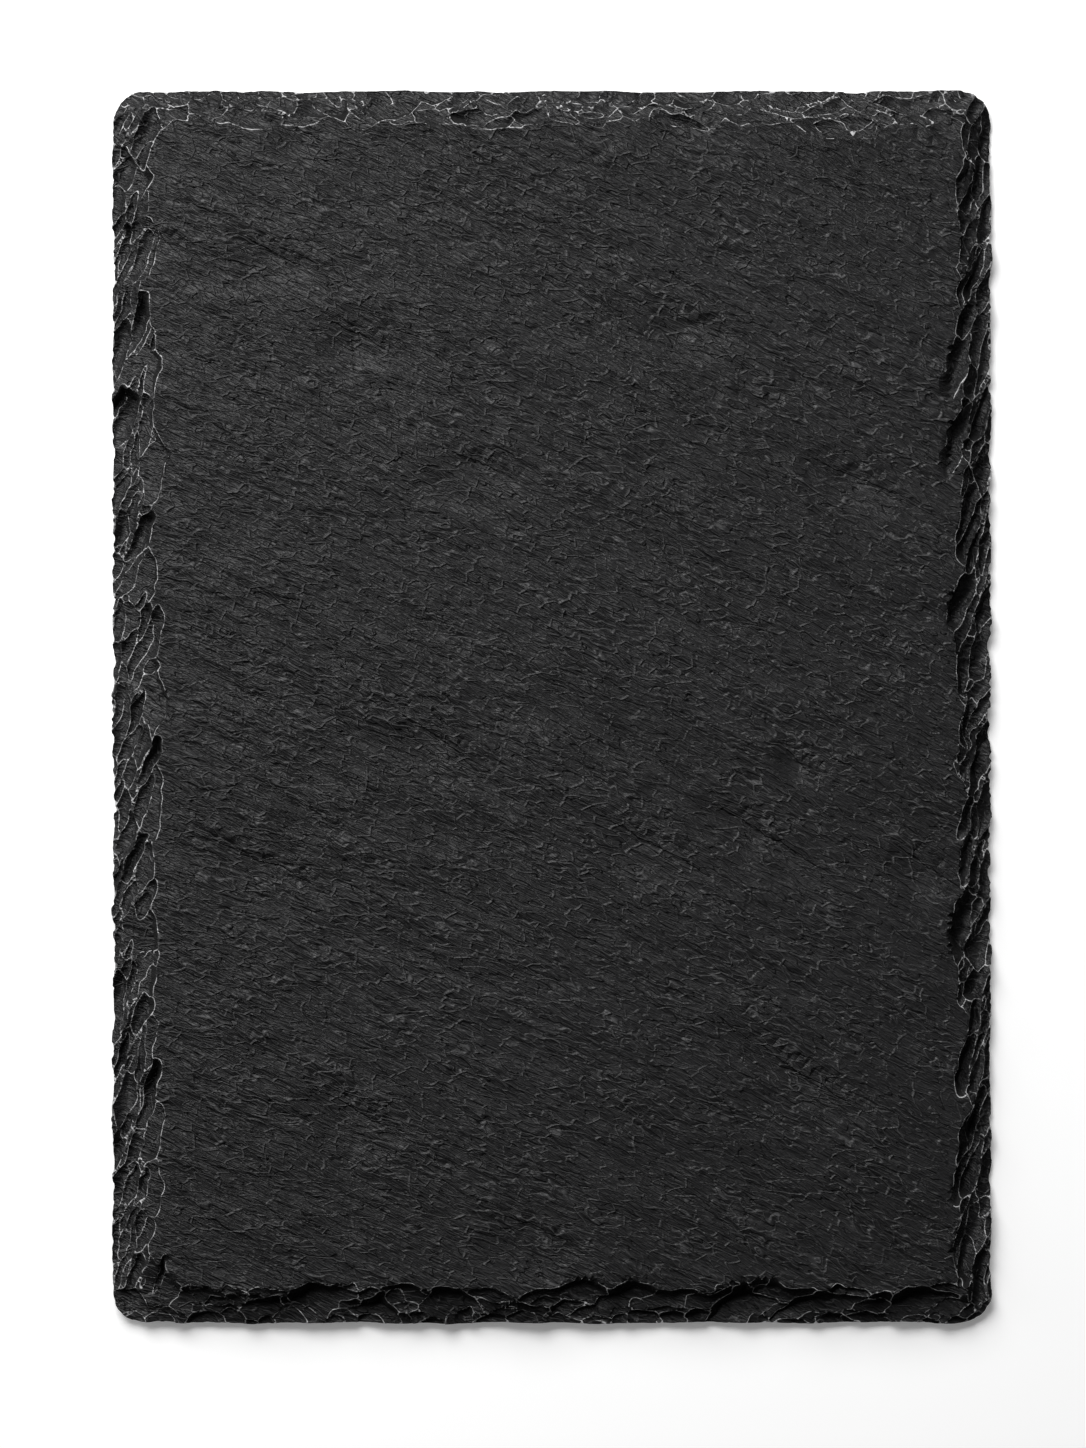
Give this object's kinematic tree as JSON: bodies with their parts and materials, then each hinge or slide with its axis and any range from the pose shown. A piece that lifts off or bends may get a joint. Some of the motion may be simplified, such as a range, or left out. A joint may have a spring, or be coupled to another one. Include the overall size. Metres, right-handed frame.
{
  "type": "slate plaque",
  "caption": "Upright rectangular slate plaque lying flat, with round corners, a riven dark grey face and four edges dressed by overlapping chipped flakes.",
  "frame": {"origin": "middle of the flat back, where the plaque lies on a surface", "axes": "+Z comes out of the riven face, +Y points to the plaque's upper edge along its long side, +X points to the right-hand edge as the face is looked at"},
  "size_m": [0.2, 0.28, 0.008],
  "materials": {
    "slate": "satin"
  },
  "bodies": {
    "root": {"slab": "slate"}
  },
  "joints": []
}
